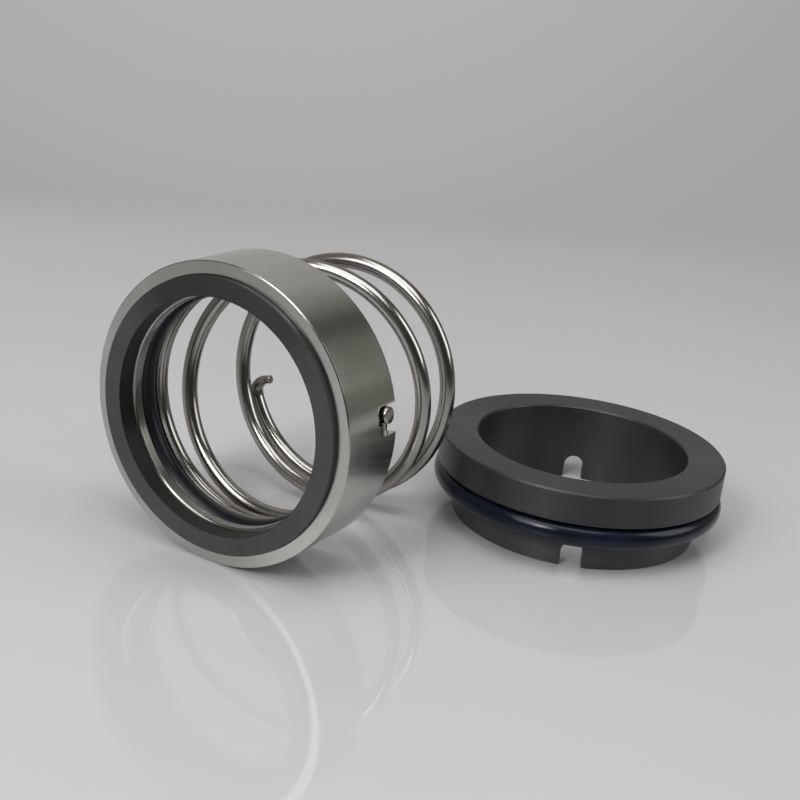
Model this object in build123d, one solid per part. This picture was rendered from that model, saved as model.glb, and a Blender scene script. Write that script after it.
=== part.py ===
from build123d import *
import os
from math import asin, cos, degrees, radians, sin

# Component mechanical seal: a spring-loaded rotary head and the stationary seat it runs against.
# +Y is the head's axis, from its front rim to its spring; +Z is up. The origin is the centre of
# the head's bore in the plane of the retainer's front rim. Millimetres and degrees.

# Shaft and the radial clearances around it
SHAFT_D = 50.0
FACE_CLEARANCE = 0.75
WEB_CLEARANCE = 0.2
THRUST_CLEARANCE = 0.6
SEAT_CLEARANCE = 0.85

# Shaft O-ring: smaller than the shaft by the bite until it is fitted
SHAFT_RING_SECTION = 5.2
SHAFT_RING_BITE = 0.4
SHAFT_RING_SLACK = 0.2
RING_END_GAP = 0.05

# Retainer: walls round the pocket and the recess, and the web between them
RETAINER_WALL = 3.0
POCKET_DEPTH = 2.8
WEB_THICKNESS = 2.5
SKIRT_MARGIN = 2.0
RIM_BEVEL = 0.5
WEB_BEVEL = 0.45
EDGE_BREAK = 0.25

# Rotary face ring
FACE_PROUD = 1.28
FACE_BEVEL = 0.25

# Thrust ring between the shaft O-ring and the spring
THRUST_THICKNESS = 1.1
THRUST_SLACK = 0.4
THRUST_BEVEL = 0.12

# Spring: closed turns at both ends, open turns between them
WIRE_D = 3.6
COIL_SLACK = 0.3
COIL_SEAT_GAP = 0.5
COIL_TURNS = 3.482
FRONT_FLAT_TURNS = 0.1
OPENING_TURNS = 1.76
CLOSING_TURNS = 0.52
REAR_CLOSED_TURNS = 0.8
OPEN_LEAD = 23.8
COIL_GAP = 0.3
COIL_STEP = 15.0

# Lean of the spring, loose behind its front turn: it dips and swings away from the seat
LEAN_DOWN = 0.066
LEAN_LEFT = 0.039
LEAN_START_TURNS = 0.2
LEAN_TURNS = 1.0

# Tangs of the spring: the front one points outwards, the rear one inwards, thinned in its bend
WIRE_BEND = 2.4
FRONT_TANG_ANGLE = 10.7
FRONT_TANG_PROUD = 0.75
REAR_TANG_REACH = 5.3
REAR_TANG_D = 2.1

# Stepped notch in the skirt that holds the front tang
NOTCH_CLEARANCE = 0.2
NOTCH_END_GAP = 1.0
NOTCH_CORNER = 1.2
STEP_WIDTH = 2.4
STEP_DEPTH = 3.8
STEP_BEVEL = 1.3
STEP_BEVEL_DEPTH = 0.6

# Stationary seat, lying on its spigot end
SPIGOT_WALL = 4.35
SPIGOT_LENGTH = 12.6
FLANGE_STEP = 4.8
FLANGE_THICKNESS = 7.5
SEAT_BEVEL = 0.4
SLOT_WIDTH = 5.0
SLOT_HEIGHT = 6.2
SLOT_ANGLE = 113.3

# Seat O-ring
SEAT_RING_SECTION = 5.4
SEAT_RING_SLACK = 0.05
SEAT_RING_GAP = 0.5

# The seat's axis, beside the retainer and behind its skirt
SEAT_ASIDE = 17.0
SEAT_BEHIND = 64.2

# Sizes that follow
SHAFT_RING_INNER = SHAFT_D / 2 - SHAFT_RING_BITE
RECESS = SHAFT_RING_INNER + SHAFT_RING_SECTION + SHAFT_RING_SLACK
OUTER = RECESS + RETAINER_WALL
WEB_REAR = POCKET_DEPTH + WEB_THICKNESS
THRUST_FRONT = WEB_REAR + SHAFT_RING_SECTION + 2 * RING_END_GAP
THRUST_REAR = THRUST_FRONT + THRUST_THICKNESS
COIL_RADIUS = RECESS - COIL_SLACK - WIRE_D / 2
COIL_FRONT = THRUST_REAR + COIL_SEAT_GAP + WIRE_D / 2
REAR_TANG_ANGLE = FRONT_TANG_ANGLE - 360 * COIL_TURNS
SKIRT_END = COIL_FRONT + WIRE_D / 2 + SKIRT_MARGIN
SEAT_BORE = SHAFT_D / 2 + SEAT_CLEARANCE
SPIGOT = SEAT_BORE + SPIGOT_WALL
FLANGE = SPIGOT + FLANGE_STEP


def revolved(points):
    """Solid of revolution about the head's axis from (distance along it, radius) corners."""
    return revolve(make_face(Plane.YZ * Polyline(*points, close=True)), axis=Axis.Y)


def bevelled_ring(inner, outer, front, rear, bevel):
    """Plain ring about the head's axis with every edge bevelled."""
    return revolved(
        [
            (front, inner + bevel),
            (front, outer - bevel),
            (front + bevel, outer),
            (rear - bevel, outer),
            (rear, outer - bevel),
            (rear, inner + bevel),
            (rear - bevel, inner),
            (front + bevel, inner),
        ]
    )


def at_angle(radius, angle, y):
    """Point at a radius and an angle round the head's axis, counted from +X towards +Z."""
    return Vector(radius * cos(radians(angle)), y, radius * sin(radians(angle)))


def notch_cutter():
    """Stepped slot through the skirt, open at its rear edge, with a bevelled mouth at the step."""
    half = WIRE_D / 2 + NOTCH_CLEARANCE
    low = half + STEP_WIDTH
    bottom = COIL_FRONT - WIRE_D / 2 - NOTCH_END_GAP
    step = SKIRT_END - STEP_DEPTH
    past = SKIRT_END + RETAINER_WALL
    corners = [(-half, bottom), (half, bottom), (half, step), (low, step), (low, past), (-half, past)]
    outline = make_face(Polyline(*corners, close=True))
    upper_corner = outline.vertices().sort_by_distance(corners[0])[0]
    outline = fillet(upper_corner, NOTCH_CORNER)
    outward = at_angle(1, FRONT_TANG_ANGLE, 0)
    downward = at_angle(1, FRONT_TANG_ANGLE - 90, 0)

    def facing(radius):
        return Plane(origin=outward * radius, x_dir=downward, z_dir=outward)

    def mouth(radius, spread):
        centre = Pos((half + low + spread) / 2, (step - spread + past) / 2)
        return facing(radius) * centre * Rectangle(STEP_WIDTH + spread, past - step + spread)

    slot = extrude(facing(RECESS - RETAINER_WALL) * outline, 3 * RETAINER_WALL)
    spread_above = STEP_BEVEL * (1 + EDGE_BREAK / STEP_BEVEL_DEPTH)
    return slot + loft([mouth(OUTER - STEP_BEVEL_DEPTH, 0), mouth(OUTER + EDGE_BREAK, spread_above)])


def retainer():
    """Turned cup: front pocket for the face ring, inner web, rear recess and notched skirt."""
    bore = SHAFT_D / 2 + WEB_CLEARANCE
    cup = revolved(
        [
            (0, RECESS + EDGE_BREAK),
            (0, OUTER - RIM_BEVEL),
            (RIM_BEVEL, OUTER),
            (SKIRT_END - EDGE_BREAK, OUTER),
            (SKIRT_END, OUTER - EDGE_BREAK),
            (SKIRT_END, RECESS + EDGE_BREAK),
            (SKIRT_END - EDGE_BREAK, RECESS),
            (WEB_REAR, RECESS),
            (WEB_REAR, bore + EDGE_BREAK),
            (WEB_REAR - EDGE_BREAK, bore),
            (POCKET_DEPTH + WEB_BEVEL, bore),
            (POCKET_DEPTH, bore + WEB_BEVEL),
            (POCKET_DEPTH, RECESS),
            (EDGE_BREAK, RECESS),
        ]
    )
    return cup - notch_cutter()


def face_ring():
    """Rotary face ring, shrunk into the pocket and standing proud of the rim."""
    inner = SHAFT_D / 2 + FACE_CLEARANCE
    return bevelled_ring(inner, RECESS, -FACE_PROUD, POCKET_DEPTH, FACE_BEVEL)


def head_o_ring():
    """Relaxed O-ring between the web and the thrust ring."""
    section = SHAFT_RING_SECTION / 2
    centre = Pos(WEB_REAR + RING_END_GAP + section, SHAFT_RING_INNER + section)
    return revolve(Plane.YZ * centre * Circle(section), axis=Axis.Y)


def thrust_ring():
    """Flat ring that carries the spring's front turn."""
    inner = SHAFT_D / 2 + THRUST_CLEARANCE
    return bevelled_ring(inner, RECESS - THRUST_SLACK, THRUST_FRONT, THRUST_REAR, THRUST_BEVEL)


def ramp(value, start, length):
    """Smooth rise from 0 at start to 1 at the end of the length."""
    share = min(max((value - start) / length, 0), 1)
    return share * share * (3 - 2 * share)


def lead_at(turn):
    """Advance per turn of the wire, after a number of turns from its front end."""
    opened = ramp(turn, FRONT_FLAT_TURNS, OPENING_TURNS)
    closed = ramp(turn, COIL_TURNS - REAR_CLOSED_TURNS - CLOSING_TURNS, CLOSING_TURNS)
    return OPEN_LEAD * opened * (1 - closed) + (WIRE_D + COIL_GAP) * closed


class Turn:
    """Plane of the coil at one place along the wire: its centre and its lean."""

    def __init__(self, centre=Vector(0, COIL_FRONT, 0), lean=0.0):
        self.centre = centre
        self.lean = lean

    def point(self, radius, angle):
        """Point at a radius and an angle round the turn's centre."""
        across = LEAN_LEFT * cos(radians(angle)) + LEAN_DOWN * sin(radians(angle))
        return self.centre + at_angle(radius, angle, radius * self.lean * across)

    def advanced(self, distance, turn):
        """Next place of the coil, after an advance along its leaning axis."""
        lean = ramp(turn, LEAN_START_TURNS, LEAN_TURNS)
        middle = (self.lean + lean) / 2
        shift = Vector(-LEAN_LEFT * middle, 1, -LEAN_DOWN * middle) * distance
        return Turn(self.centre + shift, lean)


def coil():
    """Points on the coil's centre line between the tangs' bends, and the turn it ends on."""
    start = FRONT_TANG_ANGLE - bend_swing(1)
    end = REAR_TANG_ANGLE + bend_swing(-1)
    count = round((start - end) / COIL_STEP)
    step = (start - end) / count
    place = Turn()
    points = [place.point(COIL_RADIUS, start)]
    for i in range(count):
        advance = lead_at((i + 0.5) * step / 360) * step / 360
        place = place.advanced(advance, (i + 1) * step / 360)
        points.append(place.point(COIL_RADIUS, start - (i + 1) * step))
    return points, place


def bend_swing(side):
    """Angle round the axis between a tang and the point where its bend meets the coil."""
    return degrees(asin(WIRE_BEND / (COIL_RADIUS + side * WIRE_BEND)))


def tang(place, angle, side):
    """Points of a radial tang's bend: its foot, its middle and its meeting with the coil.

    side is 1 for a tang that points outwards and -1 for one that points inwards."""
    bend_radius = COIL_RADIUS + side * WIRE_BEND
    coil_angle = angle - side * bend_swing(side)
    centre = place.point(bend_radius, coil_angle)
    foot = place.point(bend_radius * cos(radians(bend_swing(side))), angle)
    on_coil = place.point(COIL_RADIUS, coil_angle)
    middle = centre + (foot + on_coil - centre * 2).normalized() * WIRE_BEND
    return foot, middle, on_coil


def spring():
    """Wire spring with closed ends, an outward front tang and a thinner, inward rear tang."""
    points, last = coil()
    foot, middle, start = tang(Turn(), FRONT_TANG_ANGLE, 1)
    tip = Turn().point(OUTER + FRONT_TANG_PROUD, FRONT_TANG_ANGLE)
    front = [Line(tip, foot), ThreePointArc(foot, middle, start)]
    foot, middle, end = tang(last, REAR_TANG_ANGLE, -1)
    bend = ThreePointArc(end, middle, foot)
    turns = Spline(*points, tangents=[front[1] % 1, bend % 0], tangent_scalars=[1, 1])
    body = sweep(Plane(origin=tip, z_dir=front[0] % 0) * Circle(WIRE_D / 2), Wire([*front, turns]))
    reach = (last.point(COIL_RADIUS - REAR_TANG_REACH, REAR_TANG_ANGLE) - foot).length
    rod = extrude(Plane(origin=foot, z_dir=bend % 1) * Circle(REAR_TANG_D / 2), reach)
    return body + thinned(bend) + rod


def thinned(bend):
    """Wire along the rear bend, from the coil's thickness to the tang's."""
    radii = (WIRE_D / 2, (WIRE_D + REAR_TANG_D) / 4, REAR_TANG_D / 2)
    places = zip((0, 0.5, 1), radii)
    return loft([Plane(origin=bend @ share, z_dir=bend % share) * Circle(r) for share, r in places])


def beside_head(height):
    """Place on the seat's axis, at a height above the surface that both halves rest on."""
    return Pos(OUTER + SEAT_ASIDE, SKIRT_END + SEAT_BEHIND, height - OUTER)


def seat():
    """Stationary ring: flange, spigot and two slots in the spigot's end for a locking pin."""
    top = SPIGOT_LENGTH + FLANGE_THICKNESS
    outline = Polyline(
        (SEAT_BORE + SEAT_BEVEL, 0),
        (SPIGOT - SEAT_BEVEL, 0),
        (SPIGOT, SEAT_BEVEL),
        (SPIGOT, SPIGOT_LENGTH),
        (FLANGE - SEAT_BEVEL, SPIGOT_LENGTH),
        (FLANGE, SPIGOT_LENGTH + SEAT_BEVEL),
        (FLANGE, top - SEAT_BEVEL),
        (FLANGE - SEAT_BEVEL, top),
        (SEAT_BORE + SEAT_BEVEL, top),
        (SEAT_BORE, top - SEAT_BEVEL),
        (SEAT_BORE, SEAT_BEVEL),
        close=True,
    )
    body = revolve(make_face(Plane.XZ * outline), axis=Axis.Z)
    arch = SLOT_HEIGHT - SLOT_WIDTH / 2
    slot = Pos(0, arch / 2) * Rectangle(SLOT_WIDTH, arch) + Pos(0, arch) * Circle(SLOT_WIDTH / 2)
    cut = extrude(Plane.XZ * slot, 2 * SPIGOT, both=True)
    return beside_head(0) * (body - Rot(0, 0, SLOT_ANGLE + 90) * cut)


def seat_o_ring():
    """O-ring round the spigot, just under the flange."""
    section = SEAT_RING_SECTION / 2
    ring = Torus(SPIGOT + SEAT_RING_SLACK + section, section)
    return beside_head(SPIGOT_LENGTH - SEAT_RING_GAP - section) * ring


def main():
    os.makedirs("parts", exist_ok=True)
    for make in (retainer, face_ring, head_o_ring, thrust_ring, spring, seat, seat_o_ring):
        piece = make()
        piece.label = make.__name__
        export_step(piece, f"parts/{make.__name__}.step")


main()
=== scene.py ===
from math import asin, cos, pi, radians, sin, tan

import bmesh
import bpy
from mathutils import Matrix, Vector

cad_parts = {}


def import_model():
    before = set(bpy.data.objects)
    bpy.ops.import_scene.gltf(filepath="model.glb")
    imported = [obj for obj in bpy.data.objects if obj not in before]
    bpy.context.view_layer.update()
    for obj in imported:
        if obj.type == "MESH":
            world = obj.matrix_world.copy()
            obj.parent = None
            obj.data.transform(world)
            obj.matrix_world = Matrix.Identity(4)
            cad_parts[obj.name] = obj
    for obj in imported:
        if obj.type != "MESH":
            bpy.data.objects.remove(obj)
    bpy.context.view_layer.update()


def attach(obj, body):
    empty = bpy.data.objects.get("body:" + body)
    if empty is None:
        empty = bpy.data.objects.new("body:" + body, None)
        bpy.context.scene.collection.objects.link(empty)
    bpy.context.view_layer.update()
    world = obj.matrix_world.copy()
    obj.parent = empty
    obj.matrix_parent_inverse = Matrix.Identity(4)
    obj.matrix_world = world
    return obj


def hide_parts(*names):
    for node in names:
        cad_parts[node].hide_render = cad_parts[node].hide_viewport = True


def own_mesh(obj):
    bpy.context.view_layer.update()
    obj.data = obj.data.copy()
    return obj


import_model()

# +Y is the head's axis from its front rim to its spring, +Z is up, and the origin is the centre of
# the head's bore in the plane of its front rim. The seat lies beside the head on the same table.
# The pieces' sizes are in millimetres and the stage's are in metres.

MM = 0.001

# ------------------------------------------------------------------ sizes shared with the frame
# Retainer: radii, and heights along its axis from the front rim
OUTER = 33.0
RECESS = 30.0
FLOOR = -OUTER
WEB_BORE = 25.2
WEB_FRONT = 2.8
WEB_REAR = 5.3
SKIRT_END = 17.8

# Notch in the skirt: half widths of its narrow and its wide part, heights, corner and bevel
NOTCH_HALF = 2.0
NOTCH_LOW_HALF = 4.4
NOTCH_BOTTOM = 11.2
NOTCH_STEP = SKIRT_END - 3.8
NOTCH_CORNER = 1.2
BEVEL_MOUTH = 1.3
BEVEL_DEPTH = 0.6

# Rings of the head: (height, radius, radius of the section) for an O-ring
FACE_FRONT = -1.28
FACE_BORE = 25.75
HEAD_O_RING = 7.95, 27.2, 2.6
THRUST_FRONT = 10.6
THRUST_REAR = 11.7
THRUST_BORE = 25.6
THRUST_OUTER = 29.6

# Spring: radii of wire and coil, heights of the coil's ends, turns, and lead in each part of them
WIRE = 1.8
COIL_RADIUS = 27.9
COIL_FRONT = 14.0
COIL_TURNS = 3.482
FRONT_FLAT = 0.1
OPENING = 1.76
CLOSING = 0.52
REAR_CLOSED = 0.8
OPEN_LEAD = 23.8
CLOSED_LEAD = 3.9

# Lean of the spring: slopes down and to the left, turns before it starts and while it grows
LEAN_DOWN = 0.066
LEAN_LEFT = 0.039
LEAN_START = 0.2
LEAN_TURNS = 1.0

# Tangs: angle, bend and length of the front one, length and wire radius of the rear one
FRONT_ANGLE = 10.7
FRONT_BEND = 2.4
FRONT_PROUD = 0.75
REAR_REACH = 5.3
REAR_TANG = 1.05

# Seat: place of its axis, radii, and heights above the table
SEAT_X = 50.0
SEAT_Y = 82.0
SEAT_BORE = 25.85
SPIGOT = 30.2
FLANGE = 35.0
SPIGOT_TOP = 12.6
SEAT_TOP = 20.1
SEAT_CHAMFER = 0.4
SLOT_WIDTH = 5.0
SLOT_HEIGHT = 6.2
SLOT_ANGLE = 113.3
SEAT_O_RING = 9.4, 32.95, 2.7

# ------------------------------------------------------------------ sizes of the scene's own
# Bend of the rear tang, wider than the solid's
REAR_BEND = 3.6

# Rounded edges, and the fine chamfer of the retainer's rim
RIM_CHAMFER = 0.2
CHAMFER_EDGE = 0.08
RIM_EDGE = 0.2
TURNED_EDGE = 0.22
WEB_EDGE = 0.55
CORNER_EDGE = 0.12
GROUND_EDGE = 0.10
FLANGE_EDGE = 0.3
NOTCH_EDGE = 0.12
SLOT_EDGE = 0.15
SLOT_FLARE = 0.6
WIRE_END_EDGE = 0.22

# Mouth of a cut: the angle that its rounding turns through, and the straight lip after it
MOUTH_TURN = 0.8 * pi / 2
MOUTH_LIP = 0.04

# How far the cutters reach past the pieces
CUT_PAST = 0.6
NOTCH_PAST = SKIRT_END + 3.0
SLOT_PAST = -1.0
BEVEL_INSIDE = -1.5 * BEVEL_DEPTH
BEVEL_OUTSIDE = 0.25

# Fineness of the meshes: steps of arcs and paths, and sides of rings and wires
ARC_STEPS = 4
NOTCH_STEPS = 8
FLARE_STEPS = 6
TOP_STEPS = 16
MOUTH_STEPS = 3
WIRE_END_STEPS = 4
TANG_STEPS = 8
BEND_STEPS = 11
THINNING_STEPS = 9
COIL_STEPS = 900
RING_SEGMENTS = 320
LARGE_SEGMENTS = 360
O_RING_SIDES = 48
WIRE_SIDES = 36

# Straight runs of a profile: width of the strip beside an edge, and longest step between them
SUPPORT = 0.05
LONGEST_RUN = 1.2

# Angle from which the edge of a cut is sharp
SHARP = radians(32)

# ------------------------------------------------------------------ colours, dark and light
# Steel inside the cup: darker partly from its coarser bored finish, partly as painted shade
BORED_AND_SHADED_STEEL = (0.29, 0.28, 0.26, 1), (0.37, 0.36, 0.335, 1)
OUTER_STEEL = (0.49, 0.48, 0.44, 1), (0.62, 0.61, 0.565, 1)
WIRE_STEEL = (0.38, 0.37, 0.343, 1), (0.445, 0.435, 0.405, 1)
WIRE_TINT = (0.62, 0.50, 0.44, 1)
FACE_CERAMIC = (0.042, 0.042, 0.042, 1), (0.067, 0.067, 0.067, 1)
SEAT_CERAMIC = (0.010, 0.011, 0.012, 1), (0.023, 0.023, 0.024, 1)
# Painted shade for the top of the face ring
PAINTED_TOP_SHADE = (0.010, 0.010, 0.009, 1)
# Painted shade for the face ring's bore wall
BORE_PAINTED_SHADE = (0.007, 0.007, 0.006, 1)
# Painted light for the seat's spigot under the flange
SPIGOT_PAINTED_LIGHT = (0.056, 0.057, 0.060, 1)
BLACK_RUBBER = (0.005, 0.006, 0.009, 1), (0.009, 0.010, 0.015, 1)
NAVY_RUBBER = (0.004, 0.006, 0.014, 1), (0.007, 0.011, 0.023, 1)
TABLE = (0.565, 0.565, 0.585, 1), (0.585, 0.585, 0.605, 1)
# Painted shade on the table in front of the head
FRONT_PAINTED_SHADE = (0.40, 0.40, 0.415, 1)
ROOM = (0.045, 0.046, 0.039, 1)
WALL = (0.372, 0.369, 0.363, 1), (0.462, 0.459, 0.452, 1)

# ------------------------------------------------------------------ light and camera
# Soft light in the room: direction to its middle, cosine of its reach, colour
ROOM_GLOWS = (
    ((-0.92, 0.10, 0.38), -0.25, (0.21, 0.205, 0.195, 1)),
    ((0.573, 0.788, 0.225), 0.88, (0.20, 0.20, 0.18, 1)),
    ((-0.539, 0.770, 0.342), 0.65, (0.48, 0.475, 0.46, 1)),
)

# Paler part of the wall, and the part of it that shows in gloss: direction, cosine of its reach
WALL_GLOW = (-0.580, 0.783, 0.224), 0.862
MIRRORED_WALL = (-0.459, 0.827, -0.324), 0.70

# Lamps: name, place, size and watts
LAMPS = (
    ("front_softbox", (-0.20, -0.68, 0.58), (0.52, 0.52), 2.8),
    ("front_core", (0.02, -0.72, 0.54), (0.15, 0.26), 2.2),
    ("right_softbox", (0.66, 0.33, 0.46), (0.46, 0.56), 1.9),
    ("ceiling_softbox", (0.08, -0.14, 0.89), (0.76, 0.76), 4.1),
)
LAMP_AIM = (0.02, 0.03, 0.0)

# Camera: place, angles in radians, and lens and sensor in millimetres
CAMERA_PLACE = (0.15294, -0.19857, 0.09340)
CAMERA_HEADING, CAMERA_DIP, CAMERA_ROLL = 0.50611, 0.330146, 0.114669
CAMERA_LENS = 57.19
CAMERA_SENSOR = 36.0

# Table: half of its side, and the distances between which it fades out and between which painted
# shade darkens it in front
TABLE_HALF = 2
TABLE_FADE = 0.30, 0.43
FRONT_FALL = 0.12, 0.23


# ------------------------------------------------------------------ node helpers
def material(name):
    """New node material: the material, its tree and its Principled node."""
    made = bpy.data.materials.new(name)
    made.use_nodes = True
    tree = made.node_tree
    return made, tree, tree.nodes["Principled BSDF"]


def node(tree, kind, inputs=None, **settings):
    """New node with its settings and inputs; an input is a value or another node's output."""
    made = tree.nodes.new(kind)
    for key, value in settings.items():
        setattr(made, key, value)
    for key, value in (inputs or {}).items():
        if isinstance(value, bpy.types.NodeSocket):
            tree.links.new(value, made.inputs[key])
        else:
            made.inputs[key].default_value = value
    return made


def math_node(tree, operation, a, b=None, clamp=False):
    """Output of a Math node."""
    inputs = {0: a} if b is None else {0: a, 1: b}
    return node(tree, "ShaderNodeMath", inputs, operation=operation, use_clamp=clamp).outputs[0]


def weighted(tree, *terms):
    """Sum of (output, weight) pairs."""
    parts = [math_node(tree, "MULTIPLY", value, weight) for value, weight in terms]
    total = parts[0]
    for part in parts[1:]:
        total = math_node(tree, "ADD", total, part)
    return total


def hypotenuse(tree, a, b):
    """Length of (a, b)."""
    squares = [math_node(tree, "MULTIPLY", side, side) for side in (a, b)]
    return math_node(tree, "SQRT", math_node(tree, "ADD", *squares))


def combine(tree, x, y, z):
    """Output of a Combine XYZ node."""
    return node(tree, "ShaderNodeCombineXYZ", {0: x, 1: y, 2: z}).outputs[0]


def blend_colours(tree, share, a, b):
    """Output of a colour mix from a to b."""
    mix = node(tree, "ShaderNodeMix", data_type="RGBA")
    for socket, value in ((mix.inputs[0], share), (mix.inputs[6], a), (mix.inputs[7], b)):
        if isinstance(value, bpy.types.NodeSocket):
            tree.links.new(value, socket)
        else:
            socket.default_value = value
    return mix.outputs[2]


def spread(tree, value, low, high, to_low, to_high, **settings):
    """A value taken from one range to another, kept inside it."""
    inputs = {"Value": value, "From Min": low, "From Max": high,
              "To Min": to_low, "To Max": to_high}
    return node(tree, "ShaderNodeMapRange", inputs, clamp=True, **settings).outputs["Result"]


def smooth(tree, value, low, high, to_high=1.0):
    """A value that rises smoothly from 0 at low to to_high at high."""
    return spread(tree, value, low, high, 0.0, to_high, interpolation_type="SMOOTHSTEP")


def noise(tree, vector, scale, detail=3.0, roughness=0.5):
    """Factor of a noise texture."""
    inputs = {"Vector": vector, "Scale": scale, "Detail": detail, "Roughness": roughness}
    return node(tree, "ShaderNodeTexNoise", inputs).outputs["Fac"]


def from_noise(tree, value, to_low, to_high):
    """A noise factor taken from the range where most of it lies to another."""
    return spread(tree, value, 0.3, 0.7, to_low, to_high)


def bump(tree, height, strength, distance, normal=None):
    """Output of a bump node."""
    inputs = {"Height": height, "Strength": strength, "Distance": distance}
    if normal is not None:
        inputs["Normal"] = normal
    return node(tree, "ShaderNodeBump", inputs).outputs[0]


def object_place(tree):
    """Place on the object, in metres."""
    return node(tree, "ShaderNodeTexCoord").outputs["Object"]


def turned_coordinates(tree, centre=(0.0, 0.0), axis="Y"):
    """Radius and height in millimetres, and the angle's sine and cosine, round a lathe axis."""
    split = node(tree, "ShaderNodeSeparateXYZ", {0: object_place(tree)}).outputs
    a, b, height = (split[0], split[2], split[1]) if axis == "Y" else split[:3]
    a = math_node(tree, "SUBTRACT", a, centre[0] * MM)
    b = math_node(tree, "SUBTRACT", b, centre[1] * MM)
    angle = math_node(tree, "ARCTAN2", b, a)
    return (math_node(tree, "MULTIPLY", hypotenuse(tree, a, b), 1 / MM),
            math_node(tree, "MULTIPLY", height, 1 / MM),
            math_node(tree, "SINE", angle), math_node(tree, "COSINE", angle))


def streaks(tree, sine, cosine, height, scale):
    """Noise in soft bands from end to end, which change only round the axis."""
    return noise(tree, combine(tree, sine, cosine, math_node(tree, "MULTIPLY", height, 0.01)),
                 scale, 2.0)


def ring_tangent(tree, axis):
    """Direction of the tool marks round a lathe axis."""
    return node(tree, "ShaderNodeTangent", direction_type="RADIAL", axis=axis).outputs[0]


def feed(tree, shader, **values):
    """Links or values for the Principled node's sockets, named with underscores for spaces."""
    for key, value in values.items():
        socket = shader.inputs[key.replace("_", " ")]
        if isinstance(value, bpy.types.NodeSocket):
            tree.links.new(value, socket)
        else:
            socket.default_value = value


# ------------------------------------------------------------------ materials
def turned_steel():
    """Fine-turned stainless steel: circular tool marks, soft bands, duller inside, and darker
    inside partly from its bored finish and partly as painted shade.
    """
    made, tree, shader = material("turned_steel_look")
    radius, height, sine, cosine = turned_coordinates(tree)
    swept = math_node(tree, "ADD", radius, math_node(tree, "MULTIPLY", cosine, 0.9))
    around = math_node(tree, "MULTIPLY", sine, 0.9)
    marks = noise(tree, combine(tree, swept, height, around), 3.0, 3.0, 0.6)
    cloud = noise(tree, object_place(tree), 45.0)
    streak = streaks(tree, sine, cosine, height, 5.0)
    tone = weighted(tree, (marks, 0.3), (cloud, 0.3), (streak, 0.4))
    tone = spread(tree, tone, 0.32, 0.68, 0.0, 1.0)
    # Inside the cup the steel is duller and darker: partly a coarser finish, partly painted shade
    outside = spread(tree, radius, RECESS - 1.0, RECESS + 0.5, 0.0, 1.0)
    rough = math_node(tree, "ADD", from_noise(tree, cloud, 0.12, 0.17),
                      spread(tree, marks, 0.35, 0.65, 0.0, 0.03))
    feed(tree, shader, Metallic=1.0,
         Base_Color=blend_colours(tree, outside, blend_colours(tree, tone, *BORED_AND_SHADED_STEEL),
                                  blend_colours(tree, tone, *OUTER_STEEL)),
         Roughness=math_node(tree, "ADD", rough, spread(tree, outside, 0.0, 1.0, 0.10, 0.0)),
         Normal=bump(tree, marks, 0.05, 0.0001),
         Anisotropic=0.85, Anisotropic_Rotation=0.25, Tangent=ring_tangent(tree, "Y"))
    return made


def spring_steel():
    """Bright drawn wire: faint lines along its length, a clouded skin and warmer, darker edges."""
    made, tree, shader = material("spring_wire_look")
    uv = node(tree, "ShaderNodeTexCoord").outputs["UV"]
    along, around, _ = node(tree, "ShaderNodeSeparateXYZ", {0: uv}).outputs
    turn = math_node(tree, "MULTIPLY", around, 2 * pi)
    line = combine(tree, math_node(tree, "MULTIPLY", along, 0.02),
                   math_node(tree, "SINE", turn), math_node(tree, "COSINE", turn))
    drawn = noise(tree, line, 5.0, 3.0, 0.6)
    cloud = noise(tree, object_place(tree), 160.0, 3.0, 0.6)
    feed(tree, shader, Metallic=1.0,
         Base_Color=blend_colours(tree, from_noise(tree, cloud, 0.0, 1.0), *WIRE_STEEL),
         Roughness=math_node(tree, "ADD", from_noise(tree, drawn, 0.15, 0.20),
                             spread(tree, cloud, 0.4, 0.7, 0.0, 0.04)),
         Normal=bump(tree, drawn, 0.04, 0.0001), Specular_Tint=WIRE_TINT)
    return made


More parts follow.
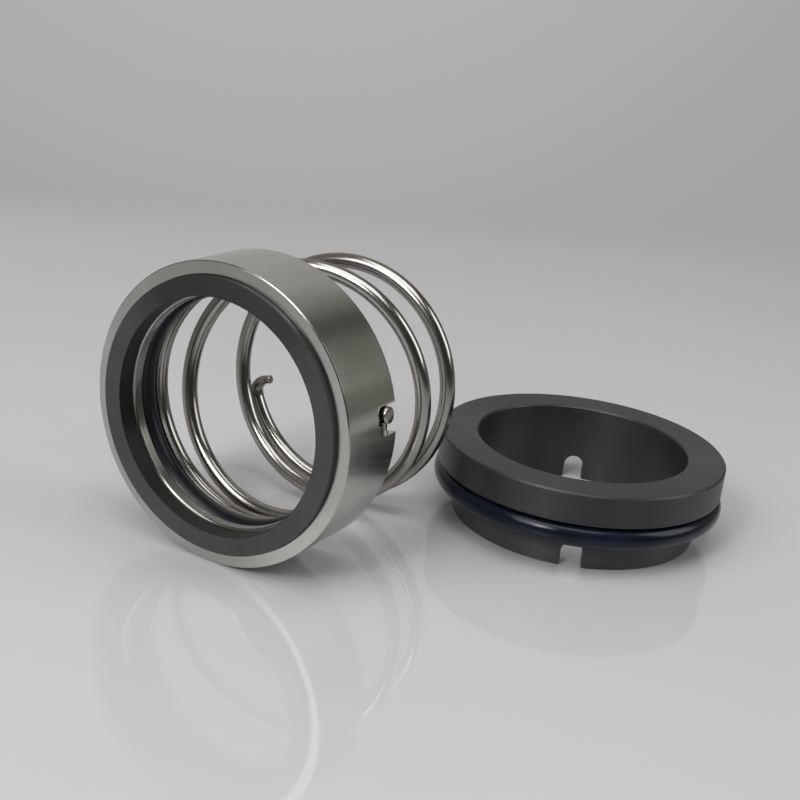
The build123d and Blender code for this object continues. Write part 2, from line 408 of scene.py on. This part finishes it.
def ceramic(name, axis, centre, colours, rough, ior, bore=0.0, top_shade=0.0):
    """Ground silicon carbide: fine grain, grinding marks, cloudy and streaky tone.

    It is darkest inside the bore radius, where shade is painted on the bore wall, and paler on the
    seat's spigot under the flange, where light is painted on.
    The share top_shade darkens the top of a ring that stands on its edge with painted shade.
    """
    made, tree, shader = material(name)
    radius, height, sine, cosine = turned_coordinates(tree, centre, axis)
    around = math_node(tree, "MULTIPLY", sine, 0.5)
    marks = noise(tree, combine(tree, radius, height, around), 5.0, 2.0, 0.6)
    grain = noise(tree, object_place(tree), 2600.0, 2.0, 0.7)
    cloud = noise(tree, object_place(tree), 70.0, 4.0, 0.6)
    streak = streaks(tree, sine, cosine, height, 4.0)
    tone = weighted(tree, (cloud, 0.3), (streak, 0.3), (grain, 0.2), (marks, 0.2))
    colour = blend_colours(tree, spread(tree, tone, 0.36, 0.64, 0.0, 1.0), *colours)
    # Painted shade: the top of the ring is darkened, broken up by streaks
    shaded_top = weighted(tree, (sine, 1.0), (streak, 0.5))
    colour = blend_colours(tree, spread(tree, shaded_top, 0.80, 1.10, 0.0, top_shade), colour, PAINTED_TOP_SHADE)
    # Painted shade: the bore wall and everything inside the bore radius get a darker colour
    colour = blend_colours(tree, spread(tree, radius, bore + 0.05, bore + 0.2, 0.0, 1.0),
                           BORE_PAINTED_SHADE, colour)
    # Painted light: the spigot's wall below the flange is made paler
    spigot = FLOOR + SPIGOT_TOP
    spigot_light = math_node(tree, "MULTIPLY",
                      spread(tree, height, spigot - 1.1, spigot - 0.1, 1.0, 0.0),
                      spread(tree, radius, SPIGOT - 2.2, SPIGOT - 1.2, 0.0, 1.0))
    spigot_light = math_node(tree, "MULTIPLY", spigot_light, from_noise(tree, cloud, 0.7, 1.0))
    feed(tree, shader, IOR=ior,
         Base_Color=blend_colours(tree, spigot_light, colour, SPIGOT_PAINTED_LIGHT),
         Roughness=math_node(tree, "ADD", from_noise(tree, cloud, *rough),
                             from_noise(tree, grain, 0.0, 0.06)),
         Normal=bump(tree, grain, 0.10, 0.00003, bump(tree, marks, 0.05, 0.0001)),
         Anisotropic=0.6, Anisotropic_Rotation=0.25, Tangent=ring_tangent(tree, axis))
    return made


def elastomer(name, colours, rough, ior):
    """Moulded rubber: smooth, slightly oily skin with a little dust."""
    made, tree, shader = material(name)
    cloud = noise(tree, object_place(tree), 120.0, 3.0, 0.6)
    grain = noise(tree, object_place(tree), 1800.0, 2.0, 0.6)
    feed(tree, shader, IOR=ior,
         Base_Color=blend_colours(tree, from_noise(tree, cloud, 0.0, 1.0), *colours),
         Roughness=math_node(tree, "ADD", from_noise(tree, cloud, *rough),
                             from_noise(tree, grain, 0.0, 0.08)),
         Normal=bump(tree, grain, 0.08, 0.00005))
    return made


# ------------------------------------------------------------------ mesh helpers
def sweep(total, steps):
    """Angles from 0 to the total in even steps, both included."""
    return [total * k / steps for k in range(steps + 1)]


def rounded(corners):
    """Closed profile from (height, radius, edge radius) corners: arcs, support points, runs."""
    parts = []
    count = len(corners)
    for i, (h, r, rho) in enumerate(corners):
        here = Vector((h, r))
        back = Vector(corners[i - 1][:2]) - here
        on = Vector(corners[(i + 1) % count][:2]) - here
        if rho <= 0:
            parts.append([here])
            continue
        half = back.angle(on) / 2
        reach = min(rho / tan(half), back.length * 0.45, on.length * 0.45)
        rho = reach * tan(half)
        start, end = here + back.normalized() * reach, here + on.normalized() * reach
        centre = here + (back.normalized() + on.normalized()).normalized() * (rho / sin(half))
        a, b = start - centre, end - centre
        total = a.angle(b)
        turn = 1 if a.x * b.y - a.y * b.x > 0 else -1
        parts.append([centre + Vector((a.x * cos(t) - a.y * sin(t), a.x * sin(t) + a.y * cos(t)))
                      for t in sweep(turn * total, ARC_STEPS)])
    out = []
    for i, part in enumerate(parts):
        out.extend(part)
        start, end = part[-1], parts[(i + 1) % count][0]
        run = end - start
        if run.length > 4 * SUPPORT:
            unit = run.normalized()
            a, b = start + unit * SUPPORT, end - unit * SUPPORT
            pieces = max(1, int((b - a).length / LONGEST_RUN + 0.999))
            out.extend(a + (b - a) * (k / pieces) for k in range(pieces + 1))
    return [(p.x, p.y) for p in out]


def head_place(h, r, angle):
    """Point on the head: height along its axis, radius and angle from +X towards +Z."""
    return (r * cos(angle) * MM, h * MM, r * sin(angle) * MM)


def seat_place(h, r, angle):
    """Point on the seat: height above the table, radius and angle round its axis."""
    return ((SEAT_X + r * cos(angle)) * MM, (SEAT_Y + r * sin(angle)) * MM, (FLOOR + h) * MM)


def new_object(name, verts, faces, look):
    """New smooth-shaded object with outward faces."""
    mesh = bpy.data.meshes.new(name)
    mesh.from_pydata(verts, [], faces)
    bm = bmesh.new()
    bm.from_mesh(mesh)
    bmesh.ops.recalc_face_normals(bm, faces=bm.faces)
    bm.to_mesh(mesh)
    bm.free()
    mesh.polygons.foreach_set("use_smooth", [True] * len(mesh.polygons))
    made = bpy.data.objects.new(name, mesh)
    bpy.context.scene.collection.objects.link(made)
    if look:
        mesh.materials.append(look)
    return made


def bridge(a, b, count):
    """Faces between two closed rows of points that start at a and b."""
    return [(a + k, a + (k + 1) % count, b + (k + 1) % count, b + k) for k in range(count)]


def lathe(name, profile, place, look, segments=RING_SEGMENTS):
    """Ring from a closed (height, radius) profile."""
    verts = [place(h, r, t) for t in sweep(2 * pi, segments)[:-1] for h, r in profile]
    count = len(profile)
    faces = []
    for k in range(segments):
        faces.extend(bridge(k * count, (k + 1) % segments * count, count))
    return new_object(name, verts, faces, look)


def section(height, radius, size):
    """Round section of an O-ring."""
    return [(height + size * sin(t), radius + size * cos(t))
            for t in sweep(2 * pi, O_RING_SIDES)[:-1]]


def grown(outline, amount):
    """Closed counter-clockwise outline with every edge moved outwards."""
    out = []
    count = len(outline)
    for i in range(count):
        a, b, c = (Vector(outline[(i + k) % count]) for k in (-1, 0, 1))
        u, v = (b - a).normalized(), (c - b).normalized()
        m, n = Vector((u.y, -u.x)), Vector((v.y, -v.x))
        out.append(b + (m + n) * (amount / (1 + m.dot(n))))
    return [tuple(p) for p in out]


def cutter(name, outline, layers, place, angle):
    """Closed slot cutter: outline points are (distance round, height), layers (radius, growth)."""
    verts, faces, count = [], [], len(outline)
    for radius, growth in layers:
        for s, h in grown(outline, growth):
            verts.append(place(h, radius, angle + asin(s / radius)))
    for layer in range(len(layers) - 1):
        faces.extend(bridge(layer * count, (layer + 1) * count, count))
    faces.append(tuple(range(count)))
    faces.append(tuple(range((len(layers) - 1) * count, len(layers) * count)))
    return new_object(name, verts, faces, None)


def edge_layers(inner, outer, size):
    """Layers of a cutter through a wall, with its mouths rounded at both skins."""
    mouth = [(sin(t) * size, (1 - cos(t)) * size) for t in sweep(MOUTH_TURN, MOUTH_STEPS)]
    lip = mouth[-1][0] + MOUTH_LIP, mouth[-1][1] + MOUTH_LIP * tan(MOUTH_TURN)
    mouth += [lip, (lip[0] + CUT_PAST, lip[1])]
    out = [(inner + size - x, g) for x, g in reversed(mouth)]
    out.extend((outer - size + x, g) for x, g in mouth)
    return out


def carve(target, *cutters):
    """Cuts the target with each cutter and removes them."""
    for tool in cutters:
        modifier = target.modifiers.new("cut", "BOOLEAN")
        modifier.operation, modifier.solver, modifier.object = "DIFFERENCE", "EXACT", tool
        graph = bpy.context.evaluated_depsgraph_get()
        mesh = bpy.data.meshes.new_from_object(target.evaluated_get(graph))
        target.modifiers.remove(modifier)
        target.data = mesh
        bpy.data.objects.remove(tool)
    target.data.polygons.foreach_set("use_smooth", [True] * len(target.data.polygons))
    target.data.set_sharp_from_angle(angle=SHARP)


# ------------------------------------------------------------------ head
def retainer(look):
    """Turned cup with its web and the stepped notch in the skirt."""
    cup = lathe("retainer_cup", rounded([
        (0, RECESS, RIM_EDGE), (0, OUTER - RIM_CHAMFER, CHAMFER_EDGE),
        (RIM_CHAMFER, OUTER, CHAMFER_EDGE),
        (SKIRT_END, OUTER, TURNED_EDGE), (SKIRT_END, RECESS, TURNED_EDGE),
        (WEB_REAR, RECESS, CORNER_EDGE), (WEB_REAR, WEB_BORE, TURNED_EDGE),
        (WEB_FRONT, WEB_BORE, WEB_EDGE), (WEB_FRONT, RECESS, 0.0)]),
        head_place, look, LARGE_SEGMENTS)
    outline = [(NOTCH_HALF, NOTCH_BOTTOM), (NOTCH_HALF, NOTCH_STEP), (NOTCH_LOW_HALF, NOTCH_STEP),
               (NOTCH_LOW_HALF, NOTCH_PAST), (-NOTCH_HALF, NOTCH_PAST)]
    arc = [(-NOTCH_HALF + NOTCH_CORNER - NOTCH_CORNER * cos(t),
            NOTCH_BOTTOM + NOTCH_CORNER - NOTCH_CORNER * sin(t))
           for t in sweep(pi / 2, NOTCH_STEPS)]
    outline = [(-s, h) for s, h in reversed(outline + arc)]
    angle = radians(FRONT_ANGLE)
    notch = cutter("notch", outline, edge_layers(RECESS, OUTER, NOTCH_EDGE), head_place, angle)
    carve(cup, notch, step_bevel(angle))
    return cup


def step_bevel(angle):
    """Cutter for the bevel along the notch's step, which opens towards the skin."""
    verts = []
    for reach in (BEVEL_INSIDE, BEVEL_OUTSIDE):
        radius, growth = OUTER + reach, BEVEL_MOUTH * (1 + reach / BEVEL_DEPTH)
        side, end = -NOTCH_HALF + growth, NOTCH_STEP - growth
        for s, h in ((-NOTCH_LOW_HALF, NOTCH_PAST), (-NOTCH_LOW_HALF, end),
                     (side, end), (side, NOTCH_PAST)):
            verts.append(head_place(h, radius, angle + asin(s / radius)))
    return new_object("mouth", verts, [(0, 1, 2, 3), (4, 5, 6, 7)] + bridge(0, 4, 4), None)


def build_head(steel, dark, rubber):
    """Retainer, face ring, O-ring and thrust ring, which slide together."""
    cup = retainer(steel)
    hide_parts("retainer")
    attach(cup, "sliding_head")

    face = lathe("face_ring_piece", rounded([
        (FACE_FRONT, FACE_BORE, GROUND_EDGE), (FACE_FRONT, RECESS, CORNER_EDGE),
        (WEB_FRONT, RECESS, GROUND_EDGE), (WEB_FRONT, FACE_BORE, GROUND_EDGE)]),
        head_place, dark)
    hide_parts("face_ring")
    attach(face, "sliding_head")

    ring = lathe("head_o_ring_piece", section(*HEAD_O_RING), head_place, rubber)
    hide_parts("head_o_ring")
    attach(ring, "sliding_head")

    thrust = lathe("thrust_ring_piece", rounded([
        (THRUST_FRONT, THRUST_BORE, GROUND_EDGE), (THRUST_FRONT, THRUST_OUTER, GROUND_EDGE),
        (THRUST_REAR, THRUST_OUTER, GROUND_EDGE), (THRUST_REAR, THRUST_BORE, GROUND_EDGE)]),
        head_place, steel)
    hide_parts("thrust_ring")
    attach(thrust, "sliding_head")


# ------------------------------------------------------------------ spring
def ramp(value, start, length):
    """Smooth rise from 0 at start to 1 at the end of the length."""
    share = min(max((value - start) / length, 0), 1)
    return share * share * (3 - 2 * share)


def lead_at(turn):
    """Advance per turn of the wire, in millimetres."""
    opened = ramp(turn, FRONT_FLAT, OPENING)
    closed = ramp(turn, COIL_TURNS - REAR_CLOSED - CLOSING, CLOSING)
    return OPEN_LEAD * opened * (1 - closed) + CLOSED_LEAD * closed


def turn_point(centre, lean, radius, angle):
    """Point at a radius and an angle in the plane of a leaning turn, in millimetres."""
    across = LEAN_LEFT * cos(angle) + LEAN_DOWN * sin(angle)
    return centre + Vector((radius * cos(angle), radius * lean * across, radius * sin(angle)))


def tang(centre, lean, angle, side, curve, tip):
    """Tang and its bend, from the tip's radius to the meeting with the coil."""
    bend = COIL_RADIUS + side * curve
    swing = asin(curve / bend)
    middle = turn_point(centre, lean, bend, angle - side * swing)
    foot = turn_point(centre, lean, bend * cos(swing), angle)
    end = turn_point(centre, lean, tip, angle)
    a, b = foot - middle, turn_point(centre, lean, COIL_RADIUS, angle - side * swing) - middle
    total = a.angle(b)
    run = [end.lerp(foot, k / TANG_STEPS) for k in range(TANG_STEPS)]
    turns = [k / BEND_STEPS for k in range(BEND_STEPS)]
    arc = [middle + (a * sin((1 - t) * total) + b * sin(t * total)) / sin(total) for t in turns]
    return run, arc


def wire_path():
    """Places along the wire, from the front tang's tip to the rear one's: (point, radius)."""
    front_angle, rear_angle = radians(FRONT_ANGLE), radians(FRONT_ANGLE - 360 * COIL_TURNS)
    start = front_angle - asin(FRONT_BEND / (COIL_RADIUS + FRONT_BEND))
    end = rear_angle + asin(REAR_BEND / (COIL_RADIUS - REAR_BEND))
    step = (start - end) / COIL_STEPS
    share = step / (2 * pi)
    centre, lean = Vector((0, COIL_FRONT, 0)), 0.0
    run, bend = tang(centre, lean, front_angle, 1, FRONT_BEND, OUTER + FRONT_PROUD)
    path = [(p, WIRE) for p in run + bend]
    path.append((turn_point(centre, lean, COIL_RADIUS, start), WIRE))
    for i in range(1, COIL_STEPS + 1):
        advance = lead_at((i - 0.5) * share) * share
        leaning = ramp(i * share, LEAN_START, LEAN_TURNS)
        middle = (lean + leaning) / 2
        centre = centre + Vector((-LEAN_LEFT * middle, 1, -LEAN_DOWN * middle)) * advance
        lean = leaning
        path.append((turn_point(centre, lean, COIL_RADIUS, start - i * step), WIRE))
    run, bend = tang(centre, lean, rear_angle, -1, REAR_BEND, COIL_RADIUS - REAR_REACH)
    thinning = [(p, REAR_TANG + (WIRE - REAR_TANG) * min(k / THINNING_STEPS, 1))
                for k, p in enumerate(bend)]
    return path + thinning[::-1] + [(p, REAR_TANG) for p in reversed(run)]


def wire_rings(path):
    """Rings of the wire, (centre, direction, side, radius), with the ends' edges rounded over."""
    points = [p for p, _ in path]
    last = len(path) - 1
    tangents = [(points[min(i + 1, last)] - points[max(i - 1, 0)]).normalized()
                for i in range(last + 1)]
    rings = []
    side = tangents[0].orthogonal().normalized()
    for (point, radius), tangent in zip(path, tangents):
        side = (side - tangent * side.dot(tangent)).normalized()
        rings.append((point, tangent, side.copy(), radius))

    def rounded_end(ring, inwards):
        place, tangent, side, radius = ring
        return [(place + tangent * inwards * WIRE_END_EDGE * (1 - cos(t)), tangent, side,
                 radius - WIRE_END_EDGE * (1 - sin(t)))
                for t in sweep(pi / 2, WIRE_END_STEPS)[:-1]]

    return rounded_end(rings[0], 1) + rings[1:-1] + rounded_end(rings[-1], -1)[::-1]


def tube(name, path, look):
    """Round wire along a path of (point, radius); its UVs are millimetres along and turns."""
    rings = wire_rings(path)
    verts, faces = [], []
    for place, tangent, side, radius in rings:
        other = tangent.cross(side)
        for t in sweep(2 * pi, WIRE_SIDES)[:-1]:
            verts.append(tuple((place + (side * cos(t) + other * sin(t)) * radius) * MM))
    for i in range(len(rings) - 1):
        faces.extend(bridge(i * WIRE_SIDES, (i + 1) * WIRE_SIDES, WIRE_SIDES))
    faces.append(tuple(range(WIRE_SIDES)))
    faces.append(tuple(range((len(rings) - 1) * WIRE_SIDES, len(rings) * WIRE_SIDES)))
    made = new_object(name, verts, faces, look)

    lengths = [0.0]
    for before, after in zip(rings, rings[1:]):
        lengths.append(lengths[-1] + (after[0] - before[0]).length)
    layer = made.data.uv_layers.new(name="UVMap")
    uv = [0.0] * (2 * len(made.data.loops))
    for face in made.data.polygons:
        seam = {v % WIRE_SIDES for v in face.vertices} >= {0, WIRE_SIDES - 1}
        for loop in face.loop_indices:
            v = made.data.loops[loop].vertex_index
            turn = v % WIRE_SIDES
            uv[2 * loop] = lengths[v // WIRE_SIDES]
            uv[2 * loop + 1] = (turn if turn or not seam else WIRE_SIDES) / WIRE_SIDES
    layer.data.foreach_set("uv", uv)
    return made


def build_spring(look):
    """Spring in one fixed shape, in the seat's body; the real spring shortens towards its rear end
    as the head slides.
    """
    wire = tube("spring_wire", wire_path(), look)
    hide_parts("spring")
    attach(wire, "seat_and_spring")
    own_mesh(wire)


# ------------------------------------------------------------------ seat
def slot_outline():
    """Mouth of a slot in the spigot's end: flared foot, straight sides and round head."""
    half = SLOT_WIDTH / 2
    arch = SLOT_HEIGHT - half
    flare = [(half + SLOT_FLARE - SLOT_FLARE * sin(t), SLOT_FLARE - SLOT_FLARE * cos(t))
             for t in sweep(pi / 2, FLARE_STEPS)]
    top = [(half * cos(t), arch + half * sin(t)) for t in sweep(pi, TOP_STEPS)]
    foot = half + SLOT_FLARE
    mirrored = [(-s, h) for s, h in reversed(flare)]
    return [(foot, SLOT_PAST)] + flare + top + mirrored + [(-foot, SLOT_PAST)]


def build_seat(dark, rubber):
    """Seat with its two slots, and the O-ring round its spigot."""
    ring = lathe("seat_ring", rounded([
        (0, SEAT_BORE, FLANGE_EDGE), (0, SPIGOT, FLANGE_EDGE), (SPIGOT_TOP, SPIGOT, CORNER_EDGE),
        (SPIGOT_TOP, FLANGE, FLANGE_EDGE), (SEAT_TOP - SEAT_CHAMFER, FLANGE, CORNER_EDGE),
        (SEAT_TOP, FLANGE - SEAT_CHAMFER, CORNER_EDGE),
        (SEAT_TOP, SEAT_BORE + SEAT_CHAMFER, CORNER_EDGE),
        (SEAT_TOP - SEAT_CHAMFER, SEAT_BORE, CORNER_EDGE)]),
        seat_place, dark, LARGE_SEGMENTS)
    outline, layers = slot_outline(), edge_layers(SEAT_BORE, SPIGOT, SLOT_EDGE)
    for k in range(2):
        angle = radians(SLOT_ANGLE + 180 * k)
        carve(ring, cutter(f"slot_{k}", outline, layers, seat_place, angle))
    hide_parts("seat")
    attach(ring, "seat_and_spring")

    o_ring = lathe("seat_o_ring_piece", section(*SEAT_O_RING), seat_place, rubber, LARGE_SEGMENTS)
    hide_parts("seat_o_ring")
    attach(o_ring, "seat_and_spring")


# ------------------------------------------------------------------ stage
def floor():
    """Glossy pale table top, with painted shade in front of the head, that fades out far from the
    object.
    """
    made, tree, shader = material("table_look")
    place = object_place(tree)
    soft = noise(tree, place, 3.0, 2.0)
    fine = noise(tree, place, 240.0, 2.0, 0.6)
    x, y, _ = node(tree, "ShaderNodeSeparateXYZ", {0: place}).outputs
    # Painted shade: the table darkens in front of the head, standing in for light falling off
    front = smooth(tree, weighted(tree, (x, -0.48), (y, -0.87)), *FRONT_FALL)
    pale = blend_colours(tree, from_noise(tree, soft, 0.0, 1.0), *TABLE)
    feed(tree, shader, IOR=1.45, Base_Color=blend_colours(tree, front, pale, FRONT_PAINTED_SHADE),
         Roughness=from_noise(tree, fine, 0.04, 0.07))
    behind = weighted(tree, (x, -0.729), (y, 0.684))
    reach = math_node(tree, "MAXIMUM", behind,
                      math_node(tree, "MULTIPLY", hypotenuse(tree, x, y), 0.5))
    clear = node(tree, "ShaderNodeBsdfTransparent")
    mix = node(tree, "ShaderNodeMixShader", {0: smooth(tree, reach, *TABLE_FADE),
                                             1: shader.outputs[0], 2: clear.outputs[0]})
    tree.links.new(mix.outputs[0], tree.nodes["Material Output"].inputs["Surface"])
    corners = [(right * TABLE_HALF, back * TABLE_HALF, 0)
               for right, back in ((-1, -1), (1, -1), (1, 1), (-1, 1))]
    top = new_object("table_top", corners, [(0, 1, 2, 3)], made)
    top.location = (0, 0, FLOOR * MM)


def lamp(name, place, size, power):
    """Rectangular soft lamp that faces the object, its first size lying level."""
    data = bpy.data.lights.new(name, "AREA")
    data.shape = "RECTANGLE"
    data.size, data.size_y = size
    data.energy = power
    made = bpy.data.objects.new(name, data)
    back = (Vector(place) - Vector(LAMP_AIM)).normalized()
    side = Vector((0, 0, 1)).cross(back).normalized()
    turn = Matrix((side, back.cross(side), back)).transposed().to_4x4()
    made.matrix_world = Matrix.Translation(place) @ turn
    bpy.context.scene.collection.objects.link(made)


def glow(tree, way, middle, edge, high=1.0):
    """Brightness that rises smoothly from the edge's cosine towards a direction."""
    inputs = {0: way, 1: middle}
    dot = node(tree, "ShaderNodeVectorMath", inputs, operation="DOT_PRODUCT").outputs["Value"]
    return smooth(tree, dot, edge, 1.0, high)


def world():
    """Dim room with soft glows that lights the object, and the pale wall that is seen behind it."""
    made = bpy.data.worlds.new("room")
    made.use_nodes = True
    tree = made.node_tree
    tree.nodes.clear()
    out = node(tree, "ShaderNodeOutputWorld")
    way = node(tree, "ShaderNodeTexCoord").outputs["Generated"]
    room = ROOM
    for middle, edge, colour in ROOM_GLOWS:
        room = blend_colours(tree, glow(tree, way, middle, edge), room, colour)
    wall = blend_colours(tree, glow(tree, way, *WALL_GLOW), *WALL)
    path = node(tree, "ShaderNodeLightPath").outputs
    mirrored = math_node(tree, "MAXIMUM", path["Is Glossy Ray"], path["Is Transmission Ray"])
    mirrored = math_node(tree, "MULTIPLY", glow(tree, way, *MIRRORED_WALL, 1.5), mirrored)
    shown = math_node(tree, "MAXIMUM", path["Is Camera Ray"], mirrored, clamp=True)
    shade = node(tree, "ShaderNodeBackground",
                 {"Color": blend_colours(tree, shown, room, wall), "Strength": 1.0})
    tree.links.new(shade.outputs[0], out.inputs["Surface"])
    bpy.context.scene.world = made


def camera():
    """Camera at the photograph's angle."""
    data = bpy.data.cameras.new("camera")
    data.sensor_width, data.lens = CAMERA_SENSOR, CAMERA_LENS
    data.clip_start = 0.01
    made = bpy.data.objects.new("camera", data)
    turn = (Matrix.Rotation(CAMERA_HEADING, 4, "Z") @ Matrix.Rotation(pi / 2 - CAMERA_DIP, 4, "X")
            @ Matrix.Rotation(CAMERA_ROLL, 4, "Z"))
    made.matrix_world = Matrix.Translation(CAMERA_PLACE) @ turn
    bpy.context.scene.collection.objects.link(made)
    bpy.context.scene.camera = made


steel_look = turned_steel()
face_look = ceramic("face_ring_look", "Y", (0.0, 0.0), FACE_CERAMIC, (0.40, 0.48), 1.45,
                    bore=FACE_BORE, top_shade=0.75)
seat_look = ceramic("seat_look", "Z", (SEAT_X, SEAT_Y), SEAT_CERAMIC, (0.36, 0.44), 1.6)
black = elastomer("shaft_ring_look", BLACK_RUBBER, (0.25, 0.36), 1.4)
navy = elastomer("seat_ring_look", NAVY_RUBBER, (0.14, 0.22), 1.36)
build_head(steel_look, face_look, black)
build_spring(spring_steel())
build_seat(seat_look, navy)
floor()
world()
camera()
for one in LAMPS:
    lamp(*one)

bpy.context.scene.view_settings.view_transform = "Standard"
